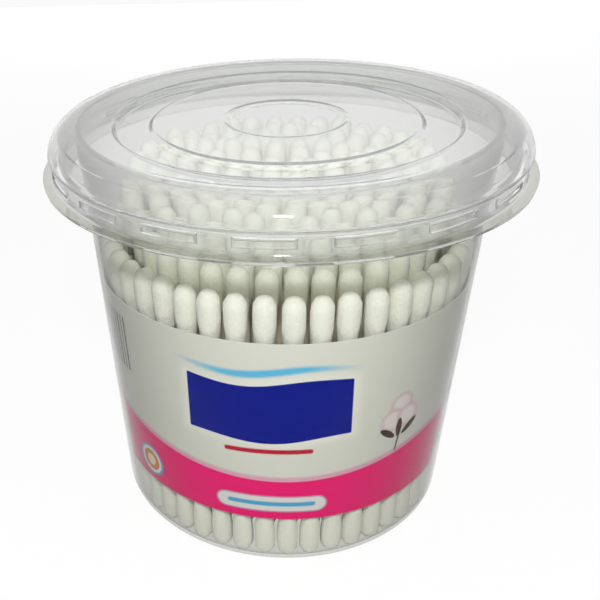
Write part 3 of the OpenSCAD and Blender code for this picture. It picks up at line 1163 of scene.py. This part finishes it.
@dataclass(frozen=True)
class Swabs:
    """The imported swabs, in millimetres: CAD sticks with soft wound tips over their ends.

    Attributes:
        tip: Full diameter of a cotton tip.
        tip_long: Length of a tip.
        tip_full: Distance from its nose to the end of its full diameter.
        nose: Points of the nose, out and along, as shares of the radius.
        waning: Distance over which the diameter falls off slowly after its full part.
        waned: Share of the radius that is left there.
        cap: Cotton beyond the end of the stick.
        tail: Radius of the tip's tail.
        lump: How far the winding stands in at most.
        lump_out: Share of that by which it stands out at most.
        thinner: Share by which one tip is thinner than another at most.
        sides: Faces round a tip.
        cotton: Finish of the tips.
        stick: Finish of the sticks.
    """

    tip: float = 5.2
    tip_long: float = 14.0
    tip_full: float = 7.0
    nose: tuple[tuple[float, float], ...] = ((0.62, 0.22), (0.96, 0.8), (1.0, 1.3))
    waning: float = 4.5
    waned: float = 0.84
    cap: float = 2.2
    tail: float = 1.75
    lump: float = 0.05
    lump_out: float = 0.3
    thinner: float = 0.01
    sides: int = 10
    cotton: Finish = WoundCotton()
    stick: Finish = RolledPaper()

    def tip_shape(self) -> Mesh:
        """Spins one tip, with its nose at the origin and its tail up.

        Returns:
            The tip.
        """
        radius = self.tip / 2
        line = Section(0, 0)
        for out, along in self.nose:
            line.to(radius * out, radius * along)
        line.to(radius, self.tip_full).to(radius * self.waned, self.tip_full + self.waning)
        line.to(self.tail, self.tip_long).to(0, self.tip_long)
        return line.spun(self.sides)

    def axes(self, node: str) -> list[tuple[Vector, Vector]]:
        """Finds each stick's lower and upper end in a node of sticks.

        Args:
            node: Name of the CAD node.

        Returns:
            The ends of each stick, in millimetres.
        """
        copy = bmesh.new()
        copy.from_mesh(bpy.data.objects[node].data)
        bmesh.ops.scale(copy, vec=(1 / MM,) * 3, verts=copy.verts)
        bmesh.ops.remove_doubles(copy, verts=copy.verts, dist=MERGE_DISTANCE)
        ends, left = [], set(copy.verts)
        while left:
            group, edge = set(), [left.pop()]
            while edge:
                vertex = edge.pop()
                group.add(vertex)
                near = {e.other_vert(vertex) for e in vertex.link_edges} & left
                left -= near
                edge.extend(near)
            places = np.array([v.co for v in group])
            places = places[np.lexsort(places.T)]
            half = len(places) // 2
            ends.append((Vector(places[:half].mean(0)), Vector(places[half:].mean(0))))
        copy.free()
        # A set has no order of its own, and each tip's random draws follow this one
        return sorted(ends, key=lambda pair: tuple(round(c, 2) for c in pair[0]))

    def tips(self, node: str, ends: list[tuple[Vector, Vector]], upper: bool, seed: int) -> bpy.types.Object:
        """Winds a tip over one end of each stick.

        Args:
            node: The CAD node of tips that these stand for.
            ends: The ends of each stick.
            upper: Whether the tips are the upper ones.
            seed: Seed of the small differences between tips.

        Returns:
            The piece that holds the ring's tips.
        """
        chance = random.Random(seed)
        pattern = bpy.data.meshes.new("pattern")
        self.tip_shape().to_mesh(pattern)
        pack = bmesh.new()
        for low, high in ends:
            along = (high - low).normalized() * (-1 if upper else 1)
            nose = (high if upper else low) - along * self.cap
            before = len(pack.verts)
            pack.from_mesh(pattern)
            pack.verts.ensure_lookup_table()
            made = pack.verts[before:]
            girth = 1 - chance.random() * self.thinner
            for vertex in made:
                side = Vector((vertex.co.x, vertex.co.y, 0))
                if side.length > MERGE_DISTANCE:
                    vertex.co += side.normalized() * chance.uniform(-self.lump, self.lump * self.lump_out)
            turn = along.to_track_quat("Z", "Y").to_matrix() @ Matrix.Rotation(chance.random() * FULL_TURN, 3, "Z")
            grow = Matrix.Diagonal((girth, girth, 1))
            bmesh.ops.transform(pack, matrix=Matrix.Translation(nose) @ (turn @ grow).to_4x4(), verts=made)
        bpy.data.meshes.remove(pattern)
        name = node.replace("tips", "cotton").replace("tip", "cotton")
        return finish_piece(pack, Dress(name, self.cotton, "tub", "cotton", node, sharp_over=180.0))

    def build(self, nodes: dict[str, bpy.types.Object]) -> None:
        """Dresses every ring of swabs.

        Args:
            nodes: The frame's nodes by name.
        """
        rings = sorted(n for n in nodes if "stick" in n)
        for seed, node in enumerate(rings):
            nodes[node].data.materials.clear()
            nodes[node].data.materials.append(self.stick.material())
            ends = self.axes(node)
            plural = node.endswith("s")
            stem = node.rsplit("_", 1)[0]
            for upper in (False, True):
                tips = f"{stem}_{'upper' if upper else 'lower'}_tip{'s' if plural else ''}"
                self.tips(tips, ends, upper, 2 * seed + upper)
            LOG.info("%s: %d swabs", stem, len(ends))


@dataclass(frozen=True)
class PhotoCamera:
    """The camera of the photograph, in millimetres and degrees.

    Attributes:
        distance: Distance from the middle of the tub's foot.
        elevation: Height of that line over the table.
        yaw: Turn of the aim to the left of the foot.
        pitch: Lift of the aim over the foot.
        roll: Turn of the picture about the aim.
        lens: Focal length.
        sensor: Width of the sensor.
        nearest: Distance from which things are seen.
        shift: How far the picture's centre lies from the lens's axis, as a share of its width.
    """

    distance: float = 250.27
    elevation: float = 38.698
    yaw: float = 5.454
    pitch: float = 5.992
    roll: float = 1.518
    lens: float = 51.54
    sensor: float = 36
    nearest: float = 10
    shift: tuple[float, float] = (0.1667, 0.1053)

    @property
    def place(self) -> Vector:
        """Where the camera stands, in millimetres."""
        lift = math.radians(self.elevation)
        return Vector((0, -math.cos(lift), math.sin(lift))) * self.distance

    def build(self) -> None:
        """Makes the camera and gives it to the scene."""
        lens = bpy.data.cameras.new("photo_camera")
        lens.lens = self.lens
        lens.sensor_width = self.sensor
        lens.shift_x, lens.shift_y = self.shift
        lens.clip_start = self.nearest * MM
        camera = bpy.data.objects.new("photo_camera", lens)
        turns = ((90 - self.elevation, "X"), (self.yaw, "Y"), (self.pitch, "X"), (self.roll, "Z"))
        aim = Matrix.Identity(3)
        for angle, axis in turns:
            aim = aim @ Matrix.Rotation(math.radians(angle), 3, axis)
        camera.matrix_world = Matrix.Translation(self.place * MM) @ aim.to_4x4()
        bpy.context.scene.collection.objects.link(camera)
        bpy.context.scene.camera = camera


@dataclass(frozen=True)
class Lamp:
    """One soft area lamp, in metres and watts.

    Attributes:
        name: The lamp's name.
        place: Where it hangs.
        aim: What it points at.
        size: Width and height of its face.
        power: Its power.
        mirrored: Whether clear and glossy sheet shows its image.
    """

    name: str
    place: tuple[float, float, float]
    aim: tuple[float, float, float]
    size: tuple[float, float]
    power: float
    mirrored: bool = True

    def build(self) -> None:
        """Hangs the lamp."""
        light = bpy.data.lights.new(self.name, "AREA")
        light.shape = "RECTANGLE"
        light.size, light.size_y = self.size
        light.energy = self.power
        lamp = bpy.data.objects.new(self.name, light)
        lamp.location = self.place
        lamp.visible_glossy = lamp.visible_transmission = self.mirrored
        lamp.rotation_euler = (Vector(self.aim) - Vector(self.place)).to_track_quat("-Z", "Y").to_euler()
        bpy.context.scene.collection.objects.link(lamp)


@dataclass(frozen=True)
class Studio:
    """Plain pale floor, even soft light from above and a small lamp by the camera.

    Attributes:
        floor_span: Width of the floor, in metres.
        ambient: Strength of the even light from all round.
        lamps: The lamps.
        floor: Finish of the floor.
    """

    floor_span: float = 6.0
    ambient: float = 0.32
    lamps: tuple[Lamp, ...] = (
        Lamp("camera_lamp", (0.0, -0.23, 0.25), (0.0, 0.0, 0.05), (0.03, 0.02), 0.8),
        Lamp("overhead_softbox", (0.0, 0.1, 0.9), (0.0, 0.0, 0.0), (0.9, 0.9), 1.5),
        Lamp("back_softbox", (0.0, 0.7, 0.11), (0.0, 0.0, 0.05), (0.6, 0.2), 2.2, mirrored=False),
    )
    floor: Finish = StudioFloor()

    def build(self) -> None:
        """Lays the floor, hangs the lamps and lights the world."""
        shape = bmesh.new()
        bmesh.ops.create_grid(shape, x_segments=1, y_segments=1, size=self.floor_span / 2)
        data = bpy.data.meshes.new("floor")
        shape.to_mesh(data)
        shape.free()
        data.materials.append(self.floor.material())
        floor = bpy.data.objects.new("floor", data)
        bpy.context.scene.collection.objects.link(floor)
        floor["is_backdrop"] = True
        for lamp in self.lamps:
            lamp.build()
        self.light_world()

    def light_world(self) -> None:
        """Makes the world plain white to look at, and a soft grey light otherwise."""
        world = bpy.data.worlds.new("studio")
        bpy.context.scene.world = world
        world.use_nodes = True
        tree = world.node_tree
        tree.nodes.clear()
        strength = add_node(tree, "MapRange", {"Value": seen_by_rays(tree), "To Min": self.ambient, "To Max": 1.0})
        sky = add_node(tree, "Background", {"Color": (1, 1, 1, 1), "Strength": strength.outputs[0]})
        add_node(tree, "OutputWorld", {"Surface": sky.outputs[0]})


def write_size(key: str, sizes: dict[str, list[list[float]]]) -> None:
    """Keeps the object's bounds under a key.

    Args:
        key: When the bounds were taken.
        sizes: The bounds so far.
    """
    low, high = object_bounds()
    sizes[key] = [list(low), list(high)]


def main() -> None:
    """Builds the tub, its lid, its liner, the swabs and the studio round the frame."""
    logging.basicConfig(level=logging.INFO, format="%(name)s: %(message)s")
    scene = bpy.context.scene
    scene.view_settings.view_transform = "Standard"
    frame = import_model()
    sizes: dict[str, list[list[float]]] = {}
    write_size("frame", sizes)
    seat = Seat.from_frame()
    tub = Tub(seat)
    tub.build()
    Lid(seat).build()
    Liner(tub).build()
    Swabs().build(frame["nodes"])
    Studio().build()
    PhotoCamera().build()
    for setting, bounces in LIGHT_BOUNCES.items():
        setattr(scene.cycles, setting, bounces)
    write_size("dressed", sizes)


if __name__ == "__main__":
    main()
